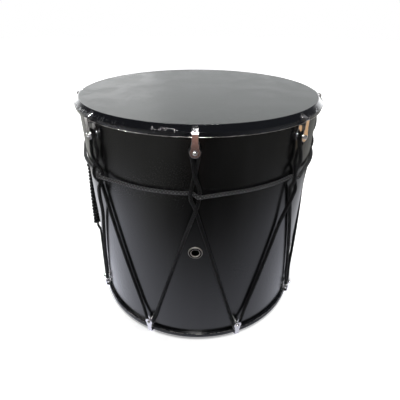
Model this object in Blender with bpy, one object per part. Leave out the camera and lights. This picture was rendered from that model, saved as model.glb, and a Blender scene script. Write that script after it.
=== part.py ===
"""Rope-tensioned double-headed drum with chrome hooks, built from separate named pieces.

Frame: metres, +Z up along the drum's axis. The origin is the centre of the bottom head's flat
face, on which the drum stands. The vent looks along -Y, and angles run from -Y towards +X.
Depths are measured from the plane of the nearer head's playing face.
"""

from math import asin, atan2, cos, hypot, pi, radians, sin, sqrt, tan

import bmesh
import bpy
import numpy as np
from mathutils import Matrix, Vector

# Overall sizes
DRUM_HEIGHT = 0.3558
SHELL_RADIUS = 0.1778
SHELL_WALL = 0.0076
SEGMENTS = 64
GAP = 0.0003

# Heads: a film with a playing face that ends inside the shell's outer face, a sloping collar, and
# a skirt that stands off the shell round the flesh hoop
FILM = 0.0005
FLAT_INSET = 0.0015
HOOP_STAND = 0.0055
COLLAR_DEPTH = 0.0065
SKIRT_TOP_DEPTH = 0.0077
SKIRT_DEPTH = 0.0116
SKIRT_TAPER = 0.0009

# Bearing edges of the shell
EDGE_FLAT = 0.0010
INNER_CHAMFER = 0.0046

# Flesh hoops
LIP_INSET = 0.0010
LIP_HEIGHT = 0.0008

# Vent
VENT_DEPTH = 0.1760
VENT_RADIUS = 0.0055
EYELET_WALL = 0.0006
EYELET_RADIUS = 0.0100
EYELET_HEIGHT = 0.0016
EYELET_EDGE_HEIGHT = 0.0010
EYELET_ROLL = 0.0016
EYELET_ROLL_HEIGHT = 0.0010
EYELET_ROLL_TIP = 0.0011
WASHER_RADIUS = 0.0095
WASHER_HEIGHT = 0.0008
VENT_SEGMENTS = 20

# Hooks, eight on each hoop, the lower set between the upper ones and drawn a little aside
HOOKS = 8
LOWER_TURN = radians(-1.2)
STRIP = 0.0012
STRIP_WIDTH = 0.0071
SHOULDER_WIDTH = 0.0091
SHOULDER_DEPTH = 0.0180
SHOULDER_SLOPE = 0.0008
EYE_RADIUS = 0.0062
EYE_DEPTH = 0.0280
LEAF_GAP = 0.0073
INNER_LEAF_CLEARANCE = 0.0013
CLAW_CLEARANCE = 0.0003
CLAW_REST = 0.0033
ARM_DEPTH = 0.0054
BEND_RADIUS = 0.0026
BRIDGE_CLEARANCE = 0.0006

# Rivets through the two leaves of each hook
PIN_RADIUS = 0.0020
PIN_CLEARANCE = 0.0003
RIVET_HEAD_RADIUS = 0.0028
RIVET_HEAD_HEIGHT = 0.0019
RIVET_CROWN_RADIUS = 0.0024
RIVET_RIM_HEIGHT = 0.0010
RIVET_FOOT_RADIUS = 0.0030
RIVET_FOOT_HEIGHT = 0.0006
RIVET_SEGMENTS = 8

# Lacing rope: from each upper hook two strands cross, part for the waist rope and cross again
ROPE = 0.0055
ROPE_CLEARANCE = 0.0003
CROSSING_CLEARANCE = 0.0011
FIRST_CROSSING_DEPTH = 0.0560
WAIST_DEPTH = 0.0832
SECOND_CROSSING_DEPTH = 0.1048
PAIR_HALF_GAP = 0.0055
STRAND_STEPS = (3, 5, 4, 8)
SEAT_STEPS = 5

# Waist rope: behind one strand of each pair and in front of the other
WAIST_ROPE = 0.0055
WAIST_SWAY = 0.0010
CLIMB_SHARES = (-1.0, -0.5, 0.0, 0.5, 1.0)
PEEL_SHARES = (0.25, 0.55, 1.0)
LIE_SHARES = (0.25, 0.5, 0.75)

# Cord wound round one strand, which it squeezes
WINDING_CORD = 0.0044
WINDING_PITCH = 0.0058
WINDING_TURNS = 17
WINDING_DEPTH = 0.1280
WINDING_POINTS = 12
WINDING_CLEARANCE = 0.0004
SQUEEZED_ROPE = 0.0046
WOUND_HOOK = 6
WOUND_EASE = 0.0140

# Spacing of the points at which the clear gaps between ropes are measured
CHECK_SPACING = 0.0012

FLAT_RADIUS = SHELL_RADIUS - FLAT_INSET
HOOP_RADIUS = SHELL_RADIUS + HOOP_STAND
LIP_RADIUS = HOOP_RADIUS - LIP_INSET
PIN_SEAT = PIN_RADIUS + ROPE_CLEARANCE + ROPE / 2
INNER_LEAF = SHELL_RADIUS + INNER_LEAF_CLEARANCE
OUTER_LEAF = INNER_LEAF + STRIP + LEAF_GAP
ROPE_AT_PIN = INNER_LEAF + STRIP + LEAF_GAP / 2
ROPE_ON_SHELL = SHELL_RADIUS + ROPE_CLEARANCE + max(ROPE, WAIST_ROPE) / 2
ROPE_OUTSIDE = ROPE_ON_SHELL + (ROPE + WAIST_ROPE) / 2 + CROSSING_CLEARANCE
COIL_RADIUS = SQUEEZED_ROPE / 2 + WINDING_CLEARANCE + WINDING_CORD / 2
ROPE_IN_COIL = SHELL_RADIUS + ROPE_CLEARANCE + COIL_RADIUS + WINDING_CORD / 2
COLLAR_SLOPE = atan2(COLLAR_DEPTH, HOOP_RADIUS - FLAT_RADIUS)
HOOK_STEP = 2 * pi / HOOKS


def new_material(name, colour, roughness, metallic=0.0):
    material = bpy.data.materials.new(name)
    material.use_nodes = True
    shader = material.node_tree.nodes["Principled BSDF"]
    shader.inputs["Base Color"].default_value = (*colour, 1.0)
    shader.inputs["Roughness"].default_value = roughness
    shader.inputs["Metallic"].default_value = metallic
    return material


def new_object(name, data, material, matrix=Matrix.Identity(4)):
    """Puts a mesh or a curve into the scene under its own name."""
    obj = bpy.data.objects.new(name, data)
    if not data.materials:
        data.materials.append(material)
    obj.matrix_world = matrix
    bpy.context.scene.collection.objects.link(obj)
    return obj


def smooth(mesh, angle=radians(35)):
    mesh.shade_smooth()
    mesh.set_sharp_from_angle(angle=angle)
    return mesh


def mesh_from(shape, name):
    bmesh.ops.recalc_face_normals(shape, faces=shape.faces)
    mesh = bpy.data.meshes.new(name)
    shape.to_mesh(mesh)
    shape.free()
    return smooth(mesh)


def turned(name, outline, segments):
    """Spins an outline of (radius, z) points round Z. Its ends join unless they lie on the axis."""
    shape = bmesh.new()
    points = [shape.verts.new((radius, 0, z)) for radius, z in outline]
    edges = [shape.edges.new(pair) for pair in zip(points, points[1:])]
    if outline[0][0] > 0:
        edges.append(shape.edges.new((points[-1], points[0])))
    whole = {"axis": (0, 0, 1), "cent": (0, 0, 0), "angle": 2 * pi, "use_merge": True}
    bmesh.ops.spin(shape, geom=points + edges, steps=segments, **whole)
    bmesh.ops.remove_doubles(shape, verts=shape.verts, dist=1e-6)
    return mesh_from(shape, name)


def rod(name, radius, low, high, segments):
    """A plain cylinder round Z."""
    return turned(name, [(0, low), (radius, low), (radius, high), (0, high)], segments)


def prism(name, outline, axis, low, high):
    """Extrudes an outline of points in the plane across an axis, X or Y, from low to high."""
    shape = bmesh.new()
    if axis == "X":
        corners = [(low, a, b) for a, b in outline]
    else:
        corners = [(a, low, b) for a, b in outline]
    face = shape.faces.new([shape.verts.new(corner) for corner in corners])
    grown = bmesh.ops.extrude_face_region(shape, geom=[face])
    moved = [item for item in grown["geom"] if isinstance(item, bmesh.types.BMVert)]
    step = (high - low, 0, 0) if axis == "X" else (0, high - low, 0)
    bmesh.ops.translate(shape, verts=moved, vec=step)
    return mesh_from(shape, name)


def inset(outline, distance):
    """An open outline moved to its right-hand side by a distance, with mitred corners."""
    moved = []
    for i, (a, b) in enumerate(outline):
        before = outline[i - 1] if i else None
        after = outline[i + 1] if i + 1 < len(outline) else None
        sides = []
        for start, end in ((before, (a, b)), ((a, b), after)):
            if start and end:
                length = hypot(end[0] - start[0], end[1] - start[1])
                sides.append(((end[1] - start[1]) / length, -(end[0] - start[0]) / length))
        normal = (sum(side[0] for side in sides), sum(side[1] for side in sides))
        reach = distance / (normal[0] * sides[0][0] + normal[1] * sides[0][1])
        moved.append((a + normal[0] * reach, b + normal[1] * reach))
    return moved


def rounded(corner, before, after, radius, steps):
    """Points of a fillet between the straights from before to corner and from corner to after."""
    corner, before, after = (Vector(point) for point in (corner, before, after))
    into = (corner - before).normalized()
    out = (after - corner).normalized()
    turn = into.angle(out)
    reach = radius * tan(turn / 2)
    middle = corner + (out - into).normalized() * (radius / cos(turn / 2))
    start = corner - into * reach - middle
    arc = []
    for i in range(steps + 1):
        share = i / steps
        blend = sin((1 - share) * turn) * start + sin(share * turn) * (corner + out * reach - middle)
        arc.append(tuple(middle + blend / sin(turn)))
    return arc


def boolean(obj, operation, other):
    modifier = obj.modifiers.new(other.name, "BOOLEAN")
    modifier.operation = operation
    modifier.object = other
    other.hide_render = True
    other.display_type = "WIRE"


def baked(obj):
    """The object's mesh with its modifiers applied, which the copies then share."""
    graph = bpy.context.evaluated_depsgraph_get()
    mesh = bpy.data.meshes.new_from_object(obj.evaluated_get(graph))
    mesh.name = obj.name
    return smooth(mesh)


def at_top(angle=0.0):
    """The upper head's frame: its origin on the playing face, with -Y turned to the angle."""
    return Matrix.Translation((0, 0, DRUM_HEIGHT)) @ Matrix.Rotation(angle, 4, "Z")


def at_bottom(angle=0.0):
    return Matrix.Rotation(angle + pi, 4, "Z") @ Matrix.Rotation(pi, 4, "X")


def upper_angle(index):
    return index * HOOK_STEP


def lower_angle(index):
    return (index + 0.5) * HOOK_STEP + LOWER_TURN


HEAD_OUTLINE = [
    (0.0, 0.0),
    (FLAT_RADIUS, 0.0),
    (HOOP_RADIUS, -COLLAR_DEPTH),
    (HOOP_RADIUS, -SKIRT_TOP_DEPTH),
    (HOOP_RADIUS - SKIRT_TAPER, -SKIRT_DEPTH),
]


def build_heads(material):
    outline = HEAD_OUTLINE + inset(HEAD_OUTLINE, FILM)[::-1]
    mesh = turned("head", outline, SEGMENTS)
    new_object("head_top", mesh, material, at_top())
    new_object("head_bottom", mesh.copy(), material, at_bottom())


def collar_depth_under(radius):
    """Depth at which a piece under the collar clears the film by the gap, at this radius."""
    start = inset(HEAD_OUTLINE, FILM + GAP)[1]
    return -start[1] + (radius - start[0]) * tan(COLLAR_SLOPE)


def build_flesh_hoops(material):
    bore = SHELL_RADIUS + GAP
    under_film = inset(HEAD_OUTLINE, FILM + GAP)
    lip_top = -SKIRT_DEPTH - GAP
    outline = [
        (bore, -collar_depth_under(bore)),
        under_film[2],
        under_film[3],
        (under_film[4][0], lip_top),
        (LIP_RADIUS, lip_top),
        (LIP_RADIUS, lip_top - LIP_HEIGHT),
        (bore, lip_top - LIP_HEIGHT),
    ]
    mesh = turned("flesh_hoop", outline, SEGMENTS)
    new_object("flesh_hoop_top", mesh, material, at_top())
    new_object("flesh_hoop_bottom", mesh.copy(), material, at_bottom())


def build_shell(material):
    bore = SHELL_RADIUS - SHELL_WALL
    edge = FILM + GAP
    outer_edge = inset(HEAD_OUTLINE, FILM + GAP)[1][0]
    inner_edge = outer_edge - EDGE_FLAT
    half = [
        (bore, edge + INNER_CHAMFER),
        (inner_edge, edge),
        (outer_edge, edge),
        (SHELL_RADIUS, collar_depth_under(SHELL_RADIUS)),
    ]
    top = [(radius, DRUM_HEIGHT - depth) for radius, depth in half]
    bottom = [(radius, depth) for radius, depth in half[::-1]]
    shell = new_object("shell", turned("shell", top + bottom, SEGMENTS), material)

    hole = VENT_RADIUS + EYELET_WALL + GAP
    drill = rod("vent_drill", hole, bore - SHELL_WALL, SHELL_RADIUS + SHELL_WALL, VENT_SEGMENTS)
    boolean(shell, "DIFFERENCE", new_object("vent_drill", drill, material, vent_frame()))


def vent_frame():
    """The vent's frame: Z runs outwards through its middle from the drum's axis."""
    return Matrix.Translation((0, 0, DRUM_HEIGHT - VENT_DEPTH)) @ Matrix.Rotation(pi / 2, 4, "X")


def build_vent(material):
    flange_base = SHELL_RADIUS + GAP
    flange_top = flange_base + EYELET_HEIGHT
    bore = SHELL_RADIUS - SHELL_WALL
    washer_top = sqrt(bore**2 - WASHER_RADIUS**2) - GAP
    washer_base = washer_top - WASHER_HEIGHT
    barrel = VENT_RADIUS + EYELET_WALL
    roll_top = washer_base - GAP
    eyelet = [
        (VENT_RADIUS, roll_top - EYELET_ROLL_HEIGHT),
        (VENT_RADIUS, flange_top - EYELET_WALL),
        (barrel, flange_top),
        (EYELET_RADIUS - 2 * EYELET_WALL, flange_top),
        (EYELET_RADIUS - EYELET_WALL / 2, flange_base + EYELET_EDGE_HEIGHT),
        (EYELET_RADIUS, flange_base),
        (barrel, flange_base),
        (barrel, roll_top),
        (barrel + EYELET_ROLL, roll_top),
        (barrel + EYELET_ROLL_TIP, roll_top - EYELET_ROLL_HEIGHT),
    ]
    new_object("vent_eyelet", turned("vent_eyelet", eyelet, VENT_SEGMENTS), material, vent_frame())
    washer = [
        (barrel + GAP, washer_base),
        (barrel + GAP, washer_top),
        (WASHER_RADIUS, washer_top),
        (WASHER_RADIUS, washer_base),
    ]
    new_object("vent_washer", turned("vent_washer", washer, VENT_SEGMENTS), material, vent_frame())


def hook_section():
    """Side view of a hook as (y, z) points: claw on the collar, outer leaf, bridge and inner leaf."""
    collar = inset(HEAD_OUTLINE, -CLAW_CLEARANCE)
    along = (cos(COLLAR_SLOPE), -sin(COLLAR_SLOPE))
    tip_height = STRIP * cos(COLLAR_SLOPE) + GAP
    reach = (collar[1][1] + tip_height) / sin(COLLAR_SLOPE)
    tip = (collar[1][0] + along[0] * reach, collar[1][1] + along[1] * reach)
    rest = (tip[0] + along[0] * CLAW_REST, tip[1] + along[1] * CLAW_REST)
    foot = -EYE_DEPTH - EYE_RADIUS - GAP
    corner = (OUTER_LEAF, -ARM_DEPTH - STRIP / 2)
    under = [tip, rest, *rounded(corner, rest, (OUTER_LEAF, foot), BEND_RADIUS, 3)]
    bridge_top = -SKIRT_DEPTH - GAP - LIP_HEIGHT - BRIDGE_CLEARANCE
    bridge_base = bridge_top - STRIP
    clevis = [
        (OUTER_LEAF, bridge_top),
        (INNER_LEAF + STRIP / 2, bridge_top),
        (INNER_LEAF, bridge_top - STRIP / 2),
        (INNER_LEAF, foot),
        (INNER_LEAF + STRIP, foot),
        (INNER_LEAF + STRIP, bridge_base),
        (OUTER_LEAF, bridge_base),
        (OUTER_LEAF, foot),
    ]
    over = inset([*under, (OUTER_LEAF, foot)], -STRIP)
    return [(-radius, z) for radius, z in [*under, *clevis, *over[::-1]]]


def hook_front():
    """Front view of a hook as (x, z) points: a narrow strip, wider shoulders and a round eye."""
    narrow, wide = STRIP_WIDTH / 2, SHOULDER_WIDTH / 2
    start = asin(wide / EYE_RADIUS)
    steps = 10
    right = [(narrow, STRIP), (narrow, -SHOULDER_DEPTH), (wide, -SHOULDER_DEPTH - SHOULDER_SLOPE)]
    eye = []
    for i in range(steps + 1):
        angle = start + (2 * pi - 2 * start) * i / steps
        eye.append((EYE_RADIUS * sin(angle), EYE_RADIUS * cos(angle) - EYE_DEPTH))
    return right + eye + [(-x, z) for x, z in right[::-1]]


def pin_frame():
    """A rivet's frame in its hook's: Z runs outwards along the pin from the drum's axis."""
    return Matrix.Translation((0, 0, -EYE_DEPTH)) @ Matrix.Rotation(pi / 2, 4, "X")


def hook_mesh(material):
    """The strip's side view, as wide as the eye, cut to its front view and drilled for the pin."""
    half = EYE_RADIUS + STRIP
    hook = new_object("hook", prism("hook", hook_section(), "X", -half, half), material)
    outside = OUTER_LEAF + 2 * STRIP
    front = prism("hook_front", hook_front(), "Y", -outside, STRIP - FLAT_RADIUS)
    front = new_object("hook_front", front, material)
    hole = PIN_RADIUS + PIN_CLEARANCE
    drill = rod("pin_drill", hole, INNER_LEAF - STRIP, outside, RIVET_SEGMENTS)
    drill = new_object("pin_drill", drill, material, pin_frame())
    boolean(hook, "INTERSECT", front)
    boolean(hook, "DIFFERENCE", drill)
    mesh = baked(hook)
    for helper in (hook, front, drill):
        bpy.data.objects.remove(helper)
    return mesh


def rivet_mesh():
    foot_top = INNER_LEAF - PIN_CLEARANCE
    head_base = OUTER_LEAF + STRIP + PIN_CLEARANCE
    outline = [
        (0, foot_top - RIVET_FOOT_HEIGHT),
        (RIVET_FOOT_RADIUS, foot_top - RIVET_FOOT_HEIGHT),
        (RIVET_FOOT_RADIUS, foot_top),
        (PIN_RADIUS, foot_top),
        (PIN_RADIUS, head_base),
        (RIVET_HEAD_RADIUS, head_base),
        (RIVET_CROWN_RADIUS, head_base + RIVET_RIM_HEIGHT),
        (0, head_base + RIVET_HEAD_HEIGHT),
    ]
    return turned("rivet", outline, RIVET_SEGMENTS)


def build_hooks(material, rivet_material):
    hook = hook_mesh(material)
    rivet = rivet_mesh()
    for i in range(HOOKS):
        frames = {"top": at_top(upper_angle(i)), "bottom": at_bottom(lower_angle(i))}
        for end, frame in frames.items():
            new_object(f"hook_{end}_{i + 1}", hook, material, frame)
            new_object(f"rivet_{end}_{i + 1}", rivet, rivet_material, frame @ pin_frame())


def eased(low, high, share):
    """From low to high with long level ends, as the share goes from 0 to 1."""
    share = min(max(share, 0.0), 1.0)
    return low + (high - low) * share**3 * (10 - 15 * share + 6 * share**2)


def placed(angle, radius, depth):
    return Vector((radius * sin(angle), -radius * cos(angle), DRUM_HEIGHT - depth))


def taut_radius(start, end, share):
    """Radius of a taut rope at a share of the turn between two (angle, radius) ends. It lies on
    the shell where the straight line would cut into it, and is straight where it leaves."""
    turn = abs(end[0] - start[0])
    angle = turn * share
    straight = start[1] * end[1] * sin(turn)
    straight /= end[1] * sin(turn - angle) + start[1] * sin(angle)
    leave = max(0.0, angle - turn + np.arccos(ROPE_ON_SHELL / end[1]))
    return max(straight, ROPE_ON_SHELL / cos(leave))


class Strand:
    """One of the two strands below an upper hook. Side 1 starts on the right and ends at the
    right-hand lower hook, inside its partner at the crossings; side -1 mirrors it, outside."""

    def __init__(self, hook, side):
        self.side = side
        self.angle = upper_angle(hook)
        self.wound = hook == WOUND_HOOK and side == 1
        lower = lower_angle(hook if side == 1 else hook - 1) - self.angle
        span = abs(lower) * ROPE_AT_PIN
        drop = DRUM_HEIGHT - EYE_DEPTH - SECOND_CROSSING_DEPTH
        self.upper_lean = asin(PIN_SEAT / (FIRST_CROSSING_DEPTH - EYE_DEPTH))
        self.lower_lean = atan2(span, drop) - asin(PIN_SEAT / hypot(span, drop))
        top = (EYE_DEPTH + PIN_SEAT * sin(self.upper_lean), PIN_SEAT * cos(self.upper_lean))
        last = DRUM_HEIGHT - EYE_DEPTH + PIN_SEAT * sin(self.lower_lean)
        self.knots = [
            top,
            (FIRST_CROSSING_DEPTH, 0.0),
            (WAIST_DEPTH, -PAIR_HALF_GAP),
            (SECOND_CROSSING_DEPTH, 0.0),
            (last, span - PIN_SEAT * cos(self.lower_lean)),
        ]
        slopes = [-tan(self.upper_lean)]
        for before, after in zip(self.knots, self.knots[2:]):
            slopes.append((after[1] - before[1]) / (after[0] - before[0]))
        self.slopes = [*slopes, tan(self.lower_lean)]

    def aside(self, depth):
        """How far the strand lies to its own side at a depth, by cubic steps between the knots."""
        for i in range(len(self.knots) - 1):
            (low, x0), (high, x1) = self.knots[i], self.knots[i + 1]
            if depth <= high or i == len(self.knots) - 2:
                break
        t = (depth - low) / (high - low)
        bend0, bend1 = self.slopes[i] * (high - low), self.slopes[i + 1] * (high - low)
        return (
            (2 * t**3 - 3 * t**2 + 1) * x0
            + (t**3 - 2 * t**2 + t) * bend0
            + (3 * t**2 - 2 * t**3) * x1
            + (t**3 - t**2) * bend1
        )

    def radius(self, depth):
        crossing = ROPE_ON_SHELL if self.side == 1 else ROPE_OUTSIDE
        waist = ROPE_OUTSIDE if self.side == 1 else ROPE_ON_SHELL
        levels = [ROPE_AT_PIN, crossing, waist, crossing]
        for i in range(3):
            low, high = self.knots[i][0], self.knots[i + 1][0]
            if depth <= high:
                return eased(levels[i], levels[i + 1], (depth - low) / (high - low))
        low, high = self.knots[3][0], self.knots[4][0]
        ends = ((0.0, crossing), (self.knots[4][1] / ROPE_AT_PIN, ROPE_AT_PIN))
        taut = taut_radius(*ends, (depth - low) / (high - low))
        return eased(taut, ROPE_IN_COIL, self.squeeze(depth)) if self.wound else taut

    def squeeze(self, depth):
        """1 inside the winding, 0 well away from it."""
        if not self.wound:
            return 0.0
        bottom = WINDING_DEPTH + WINDING_TURNS * WINDING_PITCH
        before = (depth - (WINDING_DEPTH - WINDING_CORD - WOUND_EASE)) / WOUND_EASE
        after = (bottom + WINDING_CORD + WOUND_EASE - depth) / WOUND_EASE
        return min(max(min(before, after), 0.0), 1.0)

    def point(self, depth):
        angle = self.angle + self.side * self.aside(depth) / ROPE_AT_PIN
        return placed(angle, self.radius(depth), depth)

    def depths(self):
        """Depths of the strand's points, closer together where it bends."""
        found = []
        for i, steps in enumerate(STRAND_STEPS):
            low, high = self.knots[i][0], self.knots[i + 1][0]
            if i == 3 and self.wound:
                steps *= 2
            found += [low + (high - low) * step / steps for step in range(steps)]
        return [*found, self.knots[-1][0]]


def seat_points(angle, depth, lean, over):
    """Points of the rope round a pin, from its left side to its right, without the ends that the
    strands give. Over is 1 for a rope over the pin and -1 for one under it."""
    sweep = pi + 2 * lean if over == 1 else pi - 2 * lean
    found = []
    for i in range(1, SEAT_STEPS):
        turn = sweep * (i / SEAT_STEPS - 0.5)
        aside = PIN_SEAT * sin(turn)
        above = over * PIN_SEAT * cos(turn)
        found.append(placed(angle + aside / ROPE_AT_PIN, ROPE_AT_PIN, depth - above))
    return found


def tube(name, points, thickness, material, cyclic=False, radii=None, sides=6):
    """A round rope through the points, as a polyline curve with a bevel and filled caps."""
    curve = bpy.data.curves.new(name, "CURVE")
    curve.dimensions = "3D"
    curve.bevel_depth = thickness / 2
    curve.bevel_resolution = (sides - 4) // 2
    curve.use_fill_caps = not cyclic
    spline = curve.splines.new("POLY")
    spline.points.add(len(points) - 1)
    for i, point in enumerate(points):
        spline.points[i].co = (*point, 1.0)
        spline.points[i].radius = radii[i] if radii else 1.0
    spline.use_cyclic_u = cyclic
    return new_object(name, curve, material)


def build_lacing(material):
    """One rope in a zigzag round the drum. Its join is under the winding."""
    points = []
    radii = []
    for i in range(HOOKS):
        left, right = Strand(i, -1), Strand(i, 1)
        for depth in left.depths()[::-1]:
            points.append(left.point(depth))
            radii.append(1.0)
        loop = seat_points(upper_angle(i), EYE_DEPTH, left.upper_lean, 1)
        points += loop
        radii += [1.0] * len(loop)
        for depth in right.depths():
            points.append(right.point(depth))
            radii.append(1.0 + (SQUEEZED_ROPE / ROPE - 1.0) * right.squeeze(depth))
        lean = (right.lower_lean + Strand((i + 1) % HOOKS, -1).lower_lean) / 2
        loop = seat_points(lower_angle(i), DRUM_HEIGHT - EYE_DEPTH, lean, -1)
        points += loop
        radii += [1.0] * len(loop)
    tube("lacing_rope", points, ROPE, material, cyclic=True, radii=radii)
    return points


def build_waist_rope(material):
    """A rope round the drum, behind the outer strand of each pair and in front of the inner one."""
    half = PAIR_HALF_GAP / ROPE_AT_PIN
    free = np.arccos(ROPE_ON_SHELL / ROPE_OUTSIDE)
    points = []
    for i in range(HOOKS):
        start = upper_angle(i)
        climb = [start + half * share for share in CLIMB_SHARES]
        rest = start + half + free
        lie = [start + half + free * share for share in PEEL_SHARES]
        last = start + HOOK_STEP - half
        lie += [rest + (last - rest) * share for share in LIE_SHARES]
        for angle in climb + lie:
            off = angle - start
            if off <= half:
                share = (off + half) / (2 * half)
                radius = eased(ROPE_ON_SHELL, ROPE_OUTSIDE, share)
                sway = eased(-WAIST_SWAY, WAIST_SWAY, share)
            else:
                share = (off - half) / (HOOK_STEP - 2 * half)
                radius = ROPE_ON_SHELL / cos(max(0.0, rest - angle))
                sway = WAIST_SWAY * (1 - 2 * share)
            points.append(placed(angle, radius, WAIST_DEPTH + sway))
    tube("waist_rope", points, WAIST_ROPE, material, cyclic=True)
    return points


def build_winding(material):
    """A cord wound round the strand, with a straight end of one cord's thickness at each end."""
    strand = Strand(WOUND_HOOK, 1)
    points = []
    for i in range(WINDING_TURNS * WINDING_POINTS + 1):
        turn = 2 * pi * i / WINDING_POINTS
        depth = WINDING_DEPTH + WINDING_PITCH * i / WINDING_POINTS
        centre = strand.point(depth)
        along = (strand.point(depth + STRIP) - strand.point(depth - STRIP)).normalized()
        out = Vector((centre.x, centre.y, 0)).normalized()
        out = (out - along * out.dot(along)).normalized()
        points.append(centre + COIL_RADIUS * (cos(turn) * out + sin(turn) * along.cross(out)))
    first = (points[0] - points[1]).normalized() * WINDING_CORD
    last = (points[-1] - points[-2]).normalized() * WINDING_CORD
    points = [points[0] + first, *points, points[-1] + last]
    tube("wound_cord", points, WINDING_CORD, material)
    return points


def least_gap(points, thickness, others=None, other_thickness=None, apart=0.0):
    """The least clear distance between two ropes, or between parts of one rope that are at least
    a length apart along it."""
    line = finely(points)
    other = line if others is None else finely(others)
    distance = np.linalg.norm(line[:, None, :] - other[None, :, :], axis=2)
    if others is None:
        count = len(line)
        index = np.abs(np.arange(count)[:, None] - np.arange(count)[None, :])
        index = np.minimum(index, count - index)
        distance[index * CHECK_SPACING < apart] = np.inf
        other_thickness = thickness
    return float(distance.min()) - (thickness + other_thickness) / 2


def finely(points):
    """The line of points with more of them, evenly close together."""
    line = np.array([tuple(point) for point in points])
    found = []
    for start, end in zip(line, line[1:]):
        steps = max(1, round(float(np.linalg.norm(end - start)) / CHECK_SPACING))
        found += [start + (end - start) * step / steps for step in range(steps)]
    return np.array([*found, line[-1]])


def clear_scene():
    for obj in list(bpy.data.objects):
        bpy.data.objects.remove(obj)


def main():
    clear_scene()
    film = new_material("black_film", (0.045, 0.046, 0.048), 0.42)
    aluminium = new_material("aluminium", (0.72, 0.72, 0.73), 0.35, 1.0)
    satin_black = new_material("satin_black", (0.018, 0.018, 0.020), 0.38)
    nickel = new_material("nickel", (0.66, 0.63, 0.58), 0.22, 1.0)
    chrome = new_material("chrome", (0.80, 0.80, 0.82), 0.10, 1.0)
    steel = new_material("bright_steel", (0.74, 0.74, 0.75), 0.16, 1.0)
    braid = new_material("black_braid", (0.020, 0.020, 0.022), 0.80)
    waist_braid = new_material("waist_braid", (0.024, 0.024, 0.026), 0.78)
    cord_braid = new_material("cord_braid", (0.022, 0.022, 0.024), 0.82)

    build_shell(satin_black)
    build_heads(film)
    build_flesh_hoops(aluminium)
    build_vent(nickel)
    build_hooks(chrome, steel)
    lacing = build_lacing(braid)
    waist = build_waist_rope(waist_braid)
    winding = build_winding(cord_braid)

    gaps = {
        "winding to itself": least_gap(winding, WINDING_CORD, apart=pi * COIL_RADIUS),
        "lacing rope to itself": least_gap(lacing, ROPE, apart=pi * PIN_SEAT),
        "lacing rope to waist rope": least_gap(lacing, ROPE, waist, WAIST_ROPE),
    }
    for name, gap in gaps.items():
        print(f"Least gap, {name}: {gap * 1000:.2f} mm")


main()
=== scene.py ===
"""Looks of a rope-tensioned double-headed drum, laid out as a Blender add-on and run as a script.

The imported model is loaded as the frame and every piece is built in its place, in metres, with the
drum's axis on Z and the lower head's flat face at z = 0. The vent looks along -Y, angles run from
-Y towards +X, and depths are measured from the plane of the nearer head's playing face.
"""

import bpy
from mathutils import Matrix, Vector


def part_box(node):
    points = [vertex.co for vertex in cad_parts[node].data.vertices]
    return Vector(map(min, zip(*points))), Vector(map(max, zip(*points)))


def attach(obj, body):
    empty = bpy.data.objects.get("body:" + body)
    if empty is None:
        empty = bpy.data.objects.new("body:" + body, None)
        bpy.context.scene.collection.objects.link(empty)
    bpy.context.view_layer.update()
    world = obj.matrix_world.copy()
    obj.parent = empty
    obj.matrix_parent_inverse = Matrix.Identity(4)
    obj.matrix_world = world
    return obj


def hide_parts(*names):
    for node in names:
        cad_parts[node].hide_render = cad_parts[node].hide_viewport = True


bl_info = {
    "name": "Rope-tensioned drum",
    "version": (1, 0, 0),
    "blender": (4, 5, 0),
    "location": "View3D > Sidebar > Drum",
    "description": "Builds a black rope-laced drum with chrome hooks around its CAD frame",
    "category": "Add Mesh",
}

from math import acos, asin, atan2, cos, hypot, pi, radians, sin, sqrt, tan

import bmesh
import bpy
import numpy as np
from bpy.props import FloatProperty, FloatVectorProperty, IntProperty, PointerProperty
from bpy.types import Operator, Panel, PropertyGroup
from mathutils import Matrix, Vector, noise

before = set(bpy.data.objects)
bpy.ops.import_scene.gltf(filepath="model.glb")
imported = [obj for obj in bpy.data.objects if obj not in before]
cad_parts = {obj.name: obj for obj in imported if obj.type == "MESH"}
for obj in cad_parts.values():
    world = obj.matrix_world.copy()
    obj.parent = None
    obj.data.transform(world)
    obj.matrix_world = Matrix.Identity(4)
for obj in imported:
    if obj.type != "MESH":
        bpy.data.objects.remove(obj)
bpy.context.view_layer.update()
BODY = "root"
HEIGHT = round(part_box("head_top")[1][2], 4)

# Facets round the shell and the hoops, the vent's pieces and its drill, and the rivets
ROUND, VENT_ROUND, DRILL_ROUND, RIVET_ROUND = 192, 64, 48, 20

# A braid has strands round it, sides round its tube and rings along one plait
STRANDS, SIDES, RINGS = 4, 12, 4
PLAIT_ROUNDING = 0.6


def length(name, description, default):
    return FloatProperty(name=name, description=description, default=default, unit="LENGTH", precision=5)


def share(name, description, default):
    return FloatProperty(name=name, description=description, default=default, subtype="FACTOR", min=0, max=1)


def colour(name, description, default):
    return FloatVectorProperty(name=name, description=description, default=default, subtype="COLOR", size=3)


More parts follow.
